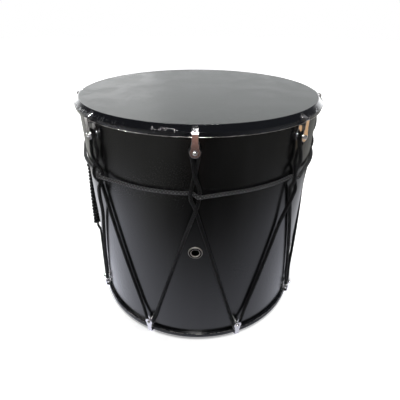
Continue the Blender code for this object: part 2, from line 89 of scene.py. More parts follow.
class DrumBody(PropertyGroup):
    """Sizes and colours of the shell, the heads, the flesh hoops and the vent."""

    height: length("Height", "From one playing face to the other", HEIGHT)
    shell_radius: length("Shell radius", "Outer radius of the shell", 0.1778)
    shell_wall: length("Shell wall", "Thickness of the shell", 0.0076)
    film: length("Film", "Thickness of the heads", 0.0005)
    flat_inset: length("Flat inset", "Playing face's edge inside the shell's outer face", 0.0015)
    hoop_stand: length("Hoop stand", "Head's skirt outside the shell's outer face", 0.0055)
    collar_depth: length("Collar depth", "Drop of the sloping collar", 0.0065)
    skirt_top: length("Skirt top", "Depth where the skirt begins to draw in", 0.0077)
    skirt_depth: length("Skirt depth", "Depth of the skirt's lower edge", 0.0116)
    skirt_taper: length("Skirt taper", "How far the skirt draws in", 0.0009)
    chamfer: length("Chamfer", "Height of the bearing edge's inner slope", 0.0046)
    edge_flat: length("Edge flat", "Width of the bearing edge's flat top", 0.0010)
    lip_inset: length("Lip inset", "Flesh hoop's lip inside the skirt", 0.0010)
    lip_height: length("Lip height", "Height of the flesh hoop's lip", 0.0008)
    gap: length("Gap", "Clear gap between touching pieces", 0.0003)
    vent_depth: length("Vent depth", "Depth of the vent's middle", 0.1760)
    vent_radius: length("Vent radius", "Bore of the vent", 0.0055)
    flange_radius: length("Flange radius", "Outer radius of the eyelet", 0.0100)
    flange_height: length("Flange height", "How far the eyelet stands off the shell", 0.0016)
    eyelet_wall: length("Eyelet wall", "Thickness of the eyelet's barrel", 0.0006)
    roll: length("Roll", "Width of the eyelet's rolled inner end", 0.0016)
    roll_tip: length("Roll tip", "Width of the rolled end at its tip", 0.0011)
    roll_height: length("Roll height", "Height of the rolled end", 0.0010)
    washer_radius: length("Washer radius", "Outer radius of the vent's washer", 0.0095)
    washer_height: length("Washer height", "Thickness of the washer", 0.0008)
    wrinkles: length("Wrinkles", "Height of the ripples in the collar", 0.00014)
    lacquer: colour("Lacquer", "Colour of the shell's lacquer", (0.0045, 0.0045, 0.0050))
    face: colour("Playing face", "Colour of the head's matt face", (0.116, 0.125, 0.121))
    collar: colour("Collar", "Colour of the head's glossy rim", (0.021, 0.0225, 0.028))
    gunmetal: colour("Gunmetal", "Colour of the vent's metal", (0.045, 0.042, 0.040))
    # bare is also the colour of the vent's painted highlight rings
    bare: colour("Bare metal", "Colour of worn and cut edges", (0.60, 0.57, 0.53))


class DrumHooks(PropertyGroup):
    """Sizes and colours of the hooks and their rivets."""

    count: IntProperty(name="Hooks", description="Hooks on each hoop", default=8, min=3)
    lower_turn: FloatProperty(
        name="Lower turn", description="Turn of the lower hooks", default=radians(-1.2), subtype="ANGLE"
    )
    strip: length("Strip", "Thickness of the hook's strip", 0.0012)
    width: length("Width", "Width of the strip", 0.0071)
    shoulder: length("Shoulder", "Width of the shoulders", 0.0091)
    shoulder_depth: length("Shoulder depth", "Depth where the shoulders begin", 0.0180)
    shoulder_slope: length("Shoulder slope", "Height over which the strip widens", 0.0008)
    eye_radius: length("Eye radius", "Radius of the eye", 0.0062)
    eye_depth: length("Eye depth", "Depth of the pin", 0.0280)
    leaf_gap: length("Leaf gap", "Gap between the two leaves", 0.0073)
    leaf_clearance: length("Leaf clearance", "Inner leaf off the shell", 0.0013)
    arm_depth: length("Arm depth", "Depth of the bend over the collar", 0.0054)
    bend: length("Bend", "Radius inside the bend", 0.0026)
    claw_rest: length("Claw rest", "Length of the claw that lies on the collar", 0.0033)
    bridge_bend: length("Bridge bend", "Radius inside the bridge's bend", 0.0012)
    bridge_clearance: length("Bridge clearance", "Bridge below the hoop's lip", 0.0006)
    pin_radius: length("Pin radius", "Radius of the rivet's pin", 0.0020)
    rivet_radius: length("Rivet radius", "Radius of the rivet's head", 0.0028)
    rivet_height: length("Rivet height", "Height of the rivet's dome", 0.0019)
    rivet_rim: length("Rivet rim", "Height of the rim under the dome", 0.0003)
    foot_radius: length("Foot radius", "Radius of the rivet's foot", 0.0030)
    foot_height: length("Foot height", "Height of the rivet's foot", 0.0006)
    chrome: colour("Chrome", "Colour of the hooks", (0.84, 0.82, 0.84))
    steel: colour("Steel", "Colour of the rivets", (0.80, 0.78, 0.78))


class DrumRopes(PropertyGroup):
    """Sizes and colours of the lacing, the waist rope and the wound cord."""

    rope: length("Rope", "Thickness of the lacing and the waist rope", 0.0055)
    clearance: length("Clearance", "Rope off the shell and the pins", 0.0003)
    crossing_clearance: length("Crossing clearance", "Clear gap where ropes cross", 0.0011)
    first_crossing: length("First crossing", "Depth where a pair first crosses", 0.0560)
    waist: length("Waist", "Depth of the waist rope", 0.0832)
    second_crossing: length("Second crossing", "Depth where a pair crosses again", 0.1048)
    pair_gap: length("Pair gap", "Half the gap between strands at the waist", 0.0055)
    sway: length("Sway", "Waist rope's step at a pair", 0.0010)
    cord: length("Cord", "Thickness of the wound cord", 0.0066)
    cord_in_frame: length("Cord in the frame", "Thickness of the frame's wound cord", 0.0044)
    pitch: length("Pitch", "Step of the winding", 0.0058)
    turns: IntProperty(name="Turns", description="Turns of the winding", default=17, min=1)
    winding_depth: length("Winding depth", "Depth where the winding starts", 0.1280)
    slack: share("Slack", "Share of a taut rope's stand off the shell that is left between the hooks", 0.12)
    settle: share("Settle", "Share of a diagonal over which it comes down to the shell", 0.3)
    lift: share("Lift", "Share of a diagonal over which it rises to its pin", 0.16)
    extra: length("Extra", "Added to the lacing's thickness", 0.0002)
    squeezed: length("Squeezed", "Strand's thickness inside the winding", 0.0046)
    winding_clearance: length("Winding clearance", "Cord off the strand", 0.0004)
    wound_hook: IntProperty(name="Wound hook", description="Upper hook whose strand is wound", default=6)
    wound_ease: length("Wound ease", "Length over which the wound strand lifts", 0.0140)
    plait: length("Plait", "Length of one plait of the rope", 0.0032)
    waist_plait: length("Waist plait", "Length of one plait of the waist rope", 0.0046)
    cord_plait: length("Cord plait", "Length of one plait of the cord", 0.0030)
    relief: length("Relief", "Depth of the braid", 0.00080)
    # dark is painted shade between the plaits; light is the plaits' own colour, which the waist rope raises
    # to a painted highlight
    dark: colour("Dark", "Colour between the plaits", (0.002, 0.002, 0.0025))
    light: colour("Light", "Colour of the plaits", (0.009, 0.009, 0.010))


class DrumStage(PropertyGroup):
    """Camera, lamps, floor and backdrop."""

    eye: FloatVectorProperty(name="Eye", description="Camera's place", default=(0.0093, -0.5138, 0.4631))
    pitch: FloatProperty(name="Pitch", description="Camera's turn down", default=0.558, subtype="ANGLE")
    yaw: FloatProperty(name="Yaw", description="Camera's turn right", default=-0.0159, subtype="ANGLE")
    roll: FloatProperty(name="Roll", description="Camera's roll", default=0.0064, subtype="ANGLE")
    lens: FloatProperty(name="Lens", description="Focal length on a 36 mm sensor, in mm", default=28.91)
    shift: FloatVectorProperty(name="Shift", description="Camera's shift", default=(0.0037, 0.0165), size=2)
    sky: share("Sky", "Level of the backdrop's light behind the drum", 1.0)
    front: share("Front", "Level of the light from the camera's side", 0.10)
    paper: colour("Floor", "Colour of the floor", (0.86, 0.86, 0.86))
    sheet_glow: colour("Sheet glow", "Mirrored sheet under the drum", (0.93, 0.94, 1.0))
    near_glow: colour("Near glow", "The same sheet close to the drum", (0.90, 0.92, 1.03))
    table_glow: colour("Table glow", "Mirrored table round the sheet", (1.0, 1.0, 0.94))
    wood_glow: colour("Wood glow", "Mirrored floor in front", (0.31, 0.155, 0.12))
    brass_glow: colour("Brass glow", "Mirrored thing at the right", (0.50, 0.27, 0.09))


def body():
    return bpy.context.scene.drum_body


def hooks():
    return bpy.context.scene.drum_hooks


def ropes():
    return bpy.context.scene.drum_ropes


# Places that the sizes give


def flat_radius():
    return body().shell_radius - body().flat_inset


def hoop_radius():
    return body().shell_radius + body().hoop_stand


def inner_leaf():
    return body().shell_radius + hooks().leaf_clearance


def outer_leaf():
    return inner_leaf() + hooks().strip + hooks().leaf_gap


def rope_at_pin():
    return inner_leaf() + hooks().strip + hooks().leaf_gap / 2


def rope_on_shell():
    return body().shell_radius + ropes().clearance + ropes().rope / 2


def rope_outside():
    return rope_on_shell() + ropes().rope + ropes().crossing_clearance


def pin_seat():
    return hooks().pin_radius + ropes().clearance + ropes().rope / 2


def coil_radius():
    return (ropes().squeezed + ropes().cord_in_frame) / 2 + ropes().winding_clearance


def hook_step():
    return 2 * pi / hooks().count


def at_top(angle=0.0):
    return Matrix.Translation((0, 0, body().height)) @ Matrix.Rotation(angle, 4, "Z")


def at_bottom(angle=0.0):
    return Matrix.Rotation(angle + pi, 4, "Z") @ Matrix.Rotation(pi, 4, "X")


def at_vent():
    lift = body().height - body().vent_depth
    return Matrix.Translation((0, 0, lift)) @ Matrix.Rotation(pi / 2, 4, "X")


def at_pin():
    return Matrix.Translation((0, 0, -hooks().eye_depth)) @ Matrix.Rotation(pi / 2, 4, "X")


def upper_angle(index):
    return index * hook_step()


def lower_angle(index):
    return (index + 0.5) * hook_step() + hooks().lower_turn


def placed(angle, radius, depth):
    return Vector((radius * sin(angle), -radius * cos(angle), body().height - depth))


# Outlines


def inset(outline, distance):
    """An open outline moved to its right-hand side by a distance, with mitred corners."""
    moved = []
    for i, (a, b) in enumerate(outline):
        before = outline[i - 1] if i else None
        after = outline[i + 1] if i + 1 < len(outline) else None
        sides = []
        for start, end in ((before, (a, b)), ((a, b), after)):
            if start and end:
                span = hypot(end[0] - start[0], end[1] - start[1])
                sides.append(((end[1] - start[1]) / span, -(end[0] - start[0]) / span))
        normal = (sum(side[0] for side in sides), sum(side[1] for side in sides))
        reach = distance / (normal[0] * sides[0][0] + normal[1] * sides[0][1])
        moved.append((a + normal[0] * reach, b + normal[1] * reach))
    return moved


def fillet(before, corner, after, radius, steps):
    """Points of a fillet between the straights from before to corner and from corner to after."""
    corner, before, after = (Vector(point) for point in (corner, before, after))
    into = (corner - before).normalized()
    out = (after - corner).normalized()
    turn = into.angle(out)
    reach = radius * tan(turn / 2)
    middle = corner + (out - into).normalized() * (radius / cos(turn / 2))
    start = corner - into * reach - middle
    end = corner + out * reach - middle
    arc = []
    for i in range(steps + 1):
        along = i / steps
        blend = sin((1 - along) * turn) * start + sin(along * turn) * end
        arc.append(tuple(middle + blend / sin(turn)))
    return arc


def head_outline():
    size = body()
    return [
        (0.0, 0.0),
        (flat_radius(), 0.0),
        (hoop_radius(), -size.collar_depth),
        (hoop_radius(), -size.skirt_top),
        (hoop_radius() - size.skirt_taper, -size.skirt_depth),
    ]


def cut(start, end, count):
    """Points at even steps from start to end, without the start."""
    return [tuple(a + (b - a) * i / count for a, b in zip(start, end)) for i in range(1, count + 1)]


def depth_under_collar(radius):
    start = inset(head_outline(), body().film + body().gap)[1]
    slope = body().collar_depth / (hoop_radius() - flat_radius())
    return -start[1] + (radius - start[0]) * slope


# Meshes and objects


def finished(bm, name, sharp=radians(40)):
    """A smooth-shaded mesh from a bmesh, its doubles merged and its faces looking outwards."""
    bmesh.ops.remove_doubles(bm, verts=bm.verts, dist=1e-6)
    bmesh.ops.recalc_face_normals(bm, faces=bm.faces)
    mesh = bpy.data.meshes.new(name)
    bm.to_mesh(mesh)
    bm.free()
    mesh.shade_smooth()
    mesh.set_sharp_from_angle(angle=sharp)
    return mesh


def piece(name, mesh, material, replaced):
    """Puts a finished mesh into the scene in the place of CAD nodes."""
    mesh.name = name
    mesh.materials.clear()
    mesh.materials.append(material)
    obj = bpy.data.objects.new(name, mesh)
    bpy.context.scene.collection.objects.link(obj)
    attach(obj, BODY)
    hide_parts(*replaced)
    return obj


def turned(name, outline, steps, matrix=Matrix.Identity(4), sharp=radians(40)):
    """Spins an outline of (radius, z) points round Z, closed unless its ends lie on the axis."""
    bm = bmesh.new()
    points = [bm.verts.new((radius, 0, z)) for radius, z in outline]
    edges = [bm.edges.new(pair) for pair in zip(points, points[1:])]
    if outline[0][0] > 0:
        edges.append(bm.edges.new((points[-1], points[0])))
    whole = {"axis": (0, 0, 1), "cent": (0, 0, 0), "angle": 2 * pi, "use_merge": True}
    bmesh.ops.spin(bm, geom=points + edges, steps=steps, **whole)
    bmesh.ops.transform(bm, matrix=matrix, verts=bm.verts)
    return finished(bm, name, sharp)


def evaluated(obj):
    graph = bpy.context.evaluated_depsgraph_get()
    return bpy.data.meshes.new_from_object(obj.evaluated_get(graph))


# Materials


AROUND_Y = (1.0, 0.0, 1.0)
AROUND_Z = (1.0, 1.0, 0.0)


def words(name):
    """A socket's name from a keyword, such as Base Color from Base_Color."""
    return name.replace("_", " ")


def shaded(colour, factor):
    return tuple(channel * factor for channel in colour)


class Nodes:
    """A node tree with short ways to add nodes to it."""

    def __init__(self, tree, source="Object"):
        self.tree = tree
        self.coordinates = self.node("ShaderNodeTexCoord").outputs
        self.place = self.coordinates[source]

    def node(self, kind, settings=None, **inputs):
        """A node. Its inputs go by name, as in Base_Color, or by number, as in _0."""
        made = self.tree.nodes.new(kind)
        for name, value in (settings or {}).items():
            setattr(made, name, value)
        for name, value in inputs.items():
            key = int(name[1:]) if name[1:].isdigit() else words(name)
            self.feed(made.inputs[key], value)
        return made

    def feed(self, socket, value):
        """Links an output to the socket, or sets the socket. A colour gets its alpha here."""
        if isinstance(value, bpy.types.NodeSocket):
            self.tree.links.new(value, socket)
        elif socket.type == "RGBA":
            socket.default_value = (*value, 1.0)
        else:
            socket.default_value = value

    def math(self, operation, first, *others):
        """A Math node, or a chain of them where more than two values meet."""
        settings = {"operation": operation}
        if not others:
            return self.node("ShaderNodeMath", settings, _0=first).outputs[0]
        for other in others:
            first = self.node("ShaderNodeMath", settings, _0=first, _1=other).outputs[0]
        return first

    def total(self, *terms):
        return self.math("ADD", *terms)

    def product(self, *factors):
        return self.math("MULTIPLY", *factors)

    def vector_math(self, operation, **inputs):
        return self.node("ShaderNodeVectorMath", {"operation": operation}, **inputs).outputs

    def distance(self, vector, kept):
        """Length of a vector along the directions that are kept, such as its distance from an axis."""
        return self.vector_math("LENGTH", _0=self.vector_math("MULTIPLY", _0=vector, _1=kept)[0])["Value"]

    def split(self, vector):
        return self.node("ShaderNodeSeparateXYZ", Vector=vector).outputs

    def between(self, value, low, high, start=0.0, end=1.0):
        """A smooth step from start to end, as a value goes from low to high."""
        limits = {"From_Min": low, "From_Max": high, "To_Min": start, "To_Max": end}
        smooth = {"interpolation_type": "SMOOTHSTEP"}
        return self.node("ShaderNodeMapRange", smooth, Value=value, **limits).outputs["Result"]

    def window(self, *steps):
        """The product of several smooth steps."""
        return self.product(*(self.between(*step) for step in steps))

    def blend(self, factor, first, second):
        return self.node("ShaderNodeMix", {"data_type": "RGBA"}, _0=factor, _6=first, _7=second).outputs[2]

    def glow(self, colour, strength):
        return self.node("ShaderNodeEmission", Color=colour, Strength=strength).outputs[0]

    def added(self, first, *others):
        """The sum of shaders."""
        for other in others:
            first = self.node("ShaderNodeAddShader", _0=first, _1=other).outputs[0]
        return first

    def mixed(self, factor, first, second):
        """A shader that goes from the first to the second."""
        return self.node("ShaderNodeMixShader", _0=factor, _1=first, _2=second).outputs[0]


class Finish(Nodes):
    """A material's node tree, with what patterns it and its shader's sockets by name."""

    def __init__(self, name, **sockets):
        self.material = bpy.data.materials.new(name)
        self.material.use_nodes = True
        super().__init__(self.material.node_tree)
        self.shader = self.tree.nodes["Principled BSDF"]
        self.set(**sockets)

    def set(self, **sockets):
        for name, value in sockets.items():
            self.feed(self.shader.inputs[words(name)], value)
        return self.material

    def grain(self, scale, detail=3.0, roughness=0.5, vector=None):
        sockets = {"Vector": vector or self.place, "Scale": scale, "Detail": detail, "Roughness": roughness}
        return self.node("ShaderNodeTexNoise", **sockets).outputs["Fac"]

    def streaks(self, scales, detail, roughness):
        """Grain with its own scale along each axis."""
        vector = self.node("ShaderNodeMapping", Vector=self.place, Scale=scales).outputs[0]
        return self.grain(1.0, detail, roughness, vector)

    def bump(self, height, distance, strength=1.0, under=None):
        sockets = {"Height": height, "Distance": distance, "Strength": strength}
        if under:
            sockets["Normal"] = under
        return self.node("ShaderNodeBump", **sockets).outputs["Normal"]


def shell_lacquer():
    """Black lacquer over plywood: clear, with a trace of the wood's grain and soft ripples."""
    base = body().lacquer
    look = Finish("shell_lacquer", Base_Color=base, Roughness=0.2, IOR=1.58)
    grain = look.streaks((60.0, 60.0, 5.0), 4.0, 0.6)
    cloud = look.between(look.grain(7.0, 2.0), 0.3, 0.7, 0.18, 0.25)
    fleck = look.product(look.grain(900.0, 2.0), 0.04)
    ripple = look.bump(look.grain(14.0, 1.0), 0.0012, 0.12)
    return look.set(
        Base_Color=look.blend(look.between(grain, 0.35, 0.7), base, shaded(base, 1.8)),
        Roughness=look.total(cloud, fleck),
        Normal=look.bump(grain, 0.00006, 0.5, ripple),
    )


def head_film():
    """Plastic film: a clouded matt grey playing face, and a glossy black rim whose lower part has
    small creases in places."""
    size = body()
    flat = flat_radius()
    slope = hoop_radius() - flat
    look = Finish("head_film", Base_Color=size.face, Roughness=0.5)
    radius = look.distance(look.place, AROUND_Z)
    rim = look.between(radius, flat - 0.0010, flat - 0.0004)
    fine, coarse = look.grain(170.0, 4.0, 0.7), look.grain(28.0, 3.0, 0.6)
    patch = look.between(look.total(look.product(fine, 0.5), look.product(coarse, 0.5)), 0.38, 0.62)
    face = look.blend(patch, shaded(size.face, 0.78), shaded(size.face, 1.22))
    stipple = look.bump(look.grain(420.0, 4.0, 0.65), 0.00004, 0.6)
    crease = look.between(look.grain(320.0, 1.0), 0.50, 0.72)
    low = look.between(radius, flat + 0.45 * slope, flat + 0.60 * slope, 0.10, 1.0)
    some = look.between(look.grain(30.0, 1.0), 0.40, 0.56)
    matt = look.between(patch, 0.0, 1.0, 0.35, 0.43)
    gloss = look.product(rim, look.math("SUBTRACT", 0.07, matt))
    return look.set(
        Base_Color=look.blend(rim, face, size.collar),
        Roughness=look.total(matt, gloss),
        Normal=look.bump(crease, 0.0004, look.product(rim, low, some), stipple),
    )


def painted_hoop(name, edge, patchy):
    """Black painted channel of a flesh hoop, its lip's edge bare to a share, everywhere or in patches."""
    size = body()
    look = Finish(name, Base_Color=size.collar, Roughness=0.22)
    radius = look.distance(look.place, AROUND_Z)
    lip = hoop_radius() - size.lip_inset
    streak = look.streaks((60.0, 60.0, 2500.0), 3.0, 0.6)
    bare = look.window((radius, lip - 0.0009, lip - 0.0003, 0.0, edge), (streak, 0.25, 0.5))
    if patchy:
        bare = look.product(bare, look.between(look.grain(130.0, 1.0), 0.44, 0.54))
    return look.set(
        Base_Color=look.blend(bare, size.collar, size.bare),
        Metallic=bare,
        Roughness=look.between(streak, 0.2, 0.8, 0.18, 0.34),
        Normal=look.bump(streak, 0.00005, 0.6),
    )


def plated(name, base, polish):
    """Polished plating with faint swirls, a few fine scratches and duller spots."""
    look = Finish(name, Base_Color=base, Metallic=1.0, Roughness=polish)
    dull = look.between(look.grain(260.0, 3.0, 0.6), 0.35, 0.7, polish, polish + 0.08)
    spots = look.between(look.grain(1500.0, 1.0), 0.62, 0.74)
    return look.set(
        Base_Color=look.blend(spots, base, shaded(base, 0.86)),
        Roughness=look.total(dull, look.product(spots, 0.2)),
        Normal=look.bump(look.streaks((900.0, 900.0, 160.0), 2.0, 0.5), 0.00002, 0.35),
    )


def vent_metal():
    """Dark plating, with painted highlight rings of bright bare metal on the eyelet's edge and round its
    mouth, and painted shade that makes its barrel black.
    """
    size = body()
    look = Finish("vent_metal", Base_Color=size.gunmetal, Metallic=1.0, Roughness=0.2)
    middle = (0.0, 0.0, size.height - size.vent_depth)
    spot = look.vector_math("SUBTRACT", _0=look.place, _1=middle)[0]
    radius = look.distance(spot, AROUND_Y)
    front = look.product(look.split(spot)["Y"], -1.0)
    crown = size.shell_radius + size.gap + size.flange_height
    outside = look.between(front, crown - 0.0016, crown - 0.0008)
    # Painted highlight rings: bright bare metal, only partly metallic so that it shows light, on the flange's
    # rim and round the mouth, unevenly bright by grain
    rim = look.between(radius, size.flange_radius - 0.0014, size.flange_radius - 0.0010)
    mouth = look.product(look.between(radius, size.vent_radius + 0.0013, size.vent_radius + 0.0009), outside)
    highlight_unevenness = look.between(look.grain(500.0), 0.20, 0.50, 0.6, 1.0)
    edge = look.product(look.math("MAXIMUM", rim, mouth), highlight_unevenness)
    # Painted shade: the barrel's inside gets a tenth of the plating's colour, as shade in the hole
    barrel = look.between(radius, size.vent_radius + 0.0005, size.vent_radius + 0.0003)
    inside = look.product(barrel, look.math("SUBTRACT", 1.0, outside))
    plating = look.blend(inside, size.gunmetal, shaded(size.gunmetal, 0.1))
    return look.set(
        Base_Color=look.blend(edge, plating, size.bare),
        Metallic=look.between(edge, 0.0, 1.0, 1.0, 0.4),
        Roughness=look.between(edge, 0.0, 1.0, 0.18, 0.42),
        Normal=look.bump(look.grain(700.0, 2.0), 0.00004, 0.5),
    )


def braid(name, dark, light, shine, worn=0.25):
    """Plaited filaments: the UV map counts plaits along the rope in U and round it in V.

    The plaits are painted dark below the share worn of their height, as painted shade between them, and light
    at their tops, as a painted highlight.
    """
    look = Finish(name, Base_Color=light, Roughness=0.4)
    plait = look.split(look.coordinates["UV"])
    left = look.total(plait["X"], plait["Y"])
    right = look.math("SUBTRACT", plait["X"], plait["Y"])
    waves = [look.math("ABSOLUTE", look.math("SINE", look.product(run, pi))) for run in (left, right)]
    swell = look.math("POWER", look.product(*waves), PLAIT_ROUNDING)
    parity = look.math("PINGPONG", look.total(look.math("FLOOR", left), look.math("FLOOR", right)), 1.0)
    run = look.node("ShaderNodeMix", {"data_type": "FLOAT"}, _0=parity, _2=left, _3=right).outputs[0]
    threads = look.product(look.math("SINE", look.product(run, 14 * pi)), 0.06)
    fuzz = look.grain(2400.0, 2.0)
    # Painted shade in the gaps between the plaits and a painted highlight on their tops, broken up by fuzz
    painted_plait_shading = look.window((swell, worn, 0.98), (fuzz, 0.25, 0.75, 0.7, 1.0))
    return look.set(
        Base_Color=look.blend(painted_plait_shading, dark, light),
        Roughness=look.between(fuzz, 0.3, 0.7, 0.30, 0.44),
        Specular_IOR_Level=shine,
        Normal=look.bump(look.total(swell, threads), 0.0012),
    )


# Shell, vent, heads and hoops


class DRUM_OT_build_shell(Operator):
    """Turn the shell, with rounded bearing edges, and drill it for the vent."""

    bl_idname = "drum.build_shell"
    bl_label = "Build shell"

    def execute(self, context):
        size = body()
        bore = size.shell_radius - size.shell_wall
        edge = size.film + size.gap
        outer = inset(head_outline(), edge)[1][0]
        plain_inside, plain_outside = 0.0090, 0.0140
        inner_round, outer_round = 0.0015, 0.0008
        below = (bore, plain_inside)
        slope = (bore, edge + size.chamfer)
        flat = (outer - size.edge_flat, edge)
        half = [
            below,
            *fillet(below, slope, flat, inner_round, 3),
            *fillet(slope, flat, (outer, edge), outer_round, 3),
            (outer, edge),
            (size.shell_radius, depth_under_collar(size.shell_radius)),
            (size.shell_radius, plain_outside),
        ]
        clear = 1.6 * size.flange_radius
        vent = [size.height - size.vent_depth + step for step in (clear, -clear)]
        outline = [(radius, size.height - depth) for radius, depth in half]
        outline += [(size.shell_radius, z) for z in vent]
        outline += [(radius, depth) for radius, depth in half[::-1]]
        outline += [(bore, z) for z in vent[::-1]]
        mesh = turned("shell_turned", outline, ROUND)
        blank = bpy.data.objects.new("shell_blank", mesh)
        hole = size.vent_radius + size.eyelet_wall + size.gap
        start, end = bore - 0.005, bore + 0.015
        rod = [(0, start), (hole, start), (hole, end), (0, end)]
        drill = bpy.data.objects.new("drill", turned("drill", rod, DRILL_ROUND, at_vent()))
        for obj in (blank, drill):
            context.scene.collection.objects.link(obj)
        cut = blank.modifiers.new("vent", "BOOLEAN")
        cut.operation = "DIFFERENCE"
        cut.object = drill
        mesh = evaluated(blank)
        for obj in (blank, drill):
            bpy.data.objects.remove(obj)
        mesh.shade_smooth()
        mesh.set_sharp_from_angle(angle=radians(30))
        piece("drum_shell", mesh, shell_lacquer(), ["shell"])
        return {"FINISHED"}


class DRUM_OT_build_vent(Operator):
    """Turn the vent's rolled eyelet and its washer."""

    bl_idname = "drum.build_vent"
    bl_label = "Build vent"

    def execute(self, context):
        size = body()
        base = size.shell_radius + size.gap
        top = base + size.flange_height
        bore = size.shell_radius - size.shell_wall
        washer_top = sqrt(bore**2 - size.washer_radius**2) - size.gap
        washer_base = washer_top - size.washer_height
        barrel = size.vent_radius + size.eyelet_wall
        roll = washer_base - size.gap
        tip = roll - size.roll_height
        mouth, rim, corner = 0.0014, 0.0008, 0.0002
        crown = (size.vent_radius + size.flange_radius) / 2
        shoulder = (size.flange_radius - rim, top)
        eyelet = [
            (size.vent_radius, tip),
            *fillet((size.vent_radius, roll), (size.vent_radius, top), (crown, top), mouth, 6),
            *fillet((crown, top), shoulder, (size.flange_radius, base), rim, 5),
            (size.flange_radius, base),
            (barrel, base),
            (barrel, roll),
            (barrel + size.roll, roll),
            (barrel + size.roll_tip, tip),
        ]
        washer = [
            (barrel + size.gap, washer_base),
            (barrel + size.gap, washer_top),
            (size.washer_radius - corner, washer_top),
            (size.washer_radius, washer_top - corner),
            (size.washer_radius, washer_base),
        ]
        metal = vent_metal()
        pieces = {"vent_rim": (eyelet, "vent_eyelet"), "vent_ring": (washer, "vent_washer")}
        for name, (outline, node) in pieces.items():
            piece(name, turned(name, outline, VENT_ROUND, at_vent()), metal, [node])
        return {"FINISHED"}


# Ripples of a collar: waves round it, waves per metre down it, step for each head, and share.
# They set in over a way from the face's edge and die down over a way above the skirt's edge.
RIPPLES = ((9, 260, 7, 1.0), (30, 500, 3, 0.45))
SETS_IN, DIES_DOWN, LEFT_AT_EDGE = 0.0015, 0.0030, 0.25


def wrinkled(mesh, matrix, seed):
    """Ripples the collar and the skirt of a head, and leaves its playing face flat."""
    size = body()
    for vertex in mesh.vertices:
        x, y, z = vertex.co
        radius = hypot(x, y)
        depth = -z
        level = min(max((radius - flat_radius()) / SETS_IN, 0.0), 1.0)
        level *= min(max((size.skirt_depth - depth) / DIES_DOWN, LEFT_AT_EDGE), 1.0)
        if level > 0:
            angle = atan2(y, x)
            push = 0.0
            for around, down, step, part in RIPPLES:
                spot = (cos(angle) * around, sin(angle) * around, depth * down + seed * step)
                push += size.wrinkles * level * part * noise.noise(Vector(spot))
            vertex.co.x += push * x / radius
            vertex.co.y += push * y / radius
    mesh.transform(matrix)
    return mesh


class DRUM_OT_build_heads(Operator):
    """Turn the two film heads, round their edges and ripple their collars."""

    bl_idname = "drum.build_heads"
    bl_label = "Build heads"

    def execute(self, context):
        size = body()
        corners = head_outline()
        face_round, rim_round = 0.0009, 0.0014
        edge, rim = fillet(*corners[:3], face_round, 4), fillet(*corners[1:4], rim_round, 5)
        outline = [corners[0], (flat_radius() * 0.5, 0.0), (flat_radius() - 0.004, 0.0), *edge]
        outline += [*cut(edge[-1], rim[0], 6)[:-1], *rim, *cut(corners[3], corners[4], 4)]
        outline += inset(outline, size.film)[::-1]
        film = head_film()
        for name, matrix, seed in (("top", at_top(), 1), ("bottom", at_bottom(), 2)):
            mesh = turned(f"film_{name}", outline, 2 * ROUND, sharp=radians(60))
            piece(f"film_{name}", wrinkled(mesh, matrix, seed), film, [f"head_{name}"])
        return {"FINISHED"}


class DRUM_OT_build_flesh_hoops(Operator):
    """Turn the flesh hoops, whose lips show below the heads' skirts."""

    bl_idname = "drum.build_flesh_hoops"
    bl_label = "Build flesh hoops"

    def execute(self, context):
        size = body()
        bore = size.shell_radius + size.gap
        under = inset(head_outline(), size.film + size.gap)
        lip_top = -size.skirt_depth - size.gap
        lip = hoop_radius() - size.lip_inset
        low = lip_top - size.lip_height
        edge = 0.00035
        outline = [
            (bore, -depth_under_collar(bore)),
            under[2],
            under[3],
            (under[4][0], lip_top),
            *fillet((under[4][0], lip_top), (lip, lip_top), (lip, low), edge, 3),
            *fillet((lip, lip_top), (lip, low), (bore, low), edge, 3),
            (bore, low),
        ]
        for name, matrix, worn, patchy in (("top", at_top(), 1.0, False), ("bottom", at_bottom(), 0.8, True)):
            metal = painted_hoop(f"hoop_paint_{name}", worn, patchy)
            mesh = turned(f"hoop_{name}", outline, ROUND, matrix, radians(50))
            piece(f"hoop_{name}", mesh, metal, [f"flesh_hoop_{name}"])
        return {"FINISHED"}


# Hooks and rivets


def leaf_half_width(depth):
    """Half the width of a leaf at a depth: narrow strip, shoulders and a round eye."""
    size = hooks()
    narrow, wide = size.width / 2, size.shoulder / 2
    if depth < size.shoulder_depth + size.shoulder_slope:
        rise = min(max((depth - size.shoulder_depth) / size.shoulder_slope, 0.0), 1.0)
        return narrow + (wide - narrow) * rise * rise * (3 - 2 * rise)
    below = size.eye_depth - depth
    if below > sqrt(size.eye_radius**2 - wide**2):
        return wide
    return sqrt(max(size.eye_radius**2 - below**2, 0.0))


def strip(path, widths, thickness):
    """A bent strip: a grid laid along a path of (radius, z) points, made solid and rounded."""
    bm = bmesh.new()
    rows = len(path) - 1
    bmesh.ops.create_grid(bm, x_segments=4, y_segments=rows, size=1.0)
    for vertex in bm.verts:
        row = round((vertex.co.y + 1) / 2 * rows)
        radius, z = path[row]
        vertex.co = (vertex.co.x * widths[row], -radius, z)
    bmesh.ops.remove_doubles(bm, verts=bm.verts, dist=1e-6)
    bmesh.ops.recalc_face_normals(bm, faces=bm.faces)
    bmesh.ops.solidify(bm, geom=bm.faces, thickness=thickness)
    bmesh.ops.recalc_face_normals(bm, faces=bm.faces)
    edges = [edge for edge in bm.edges if edge.is_manifold and edge.calc_face_angle() > radians(50)]
    rounding = {"affect": "EDGES", "segments": 2, "profile": 0.5, "material": -1}
    bmesh.ops.bevel(bm, geom=edges, offset=thickness * 0.22, offset_type="OFFSET", **rounding)
    return bm


# Steps of a strip's path, and how the claw's tip narrows: over a length, to a share of the width
STEP, CLAW_ROUNDING, CLAW_TIP = 0.0006, 0.0012, 0.72


def spaced(path):
    """The path with its straights cut into steps."""
    found = [path[0]]
    for start, end in zip(path, path[1:]):
        found += cut(start, end, max(1, round(hypot(end[0] - start[0], end[1] - start[1]) / STEP)))
    return found


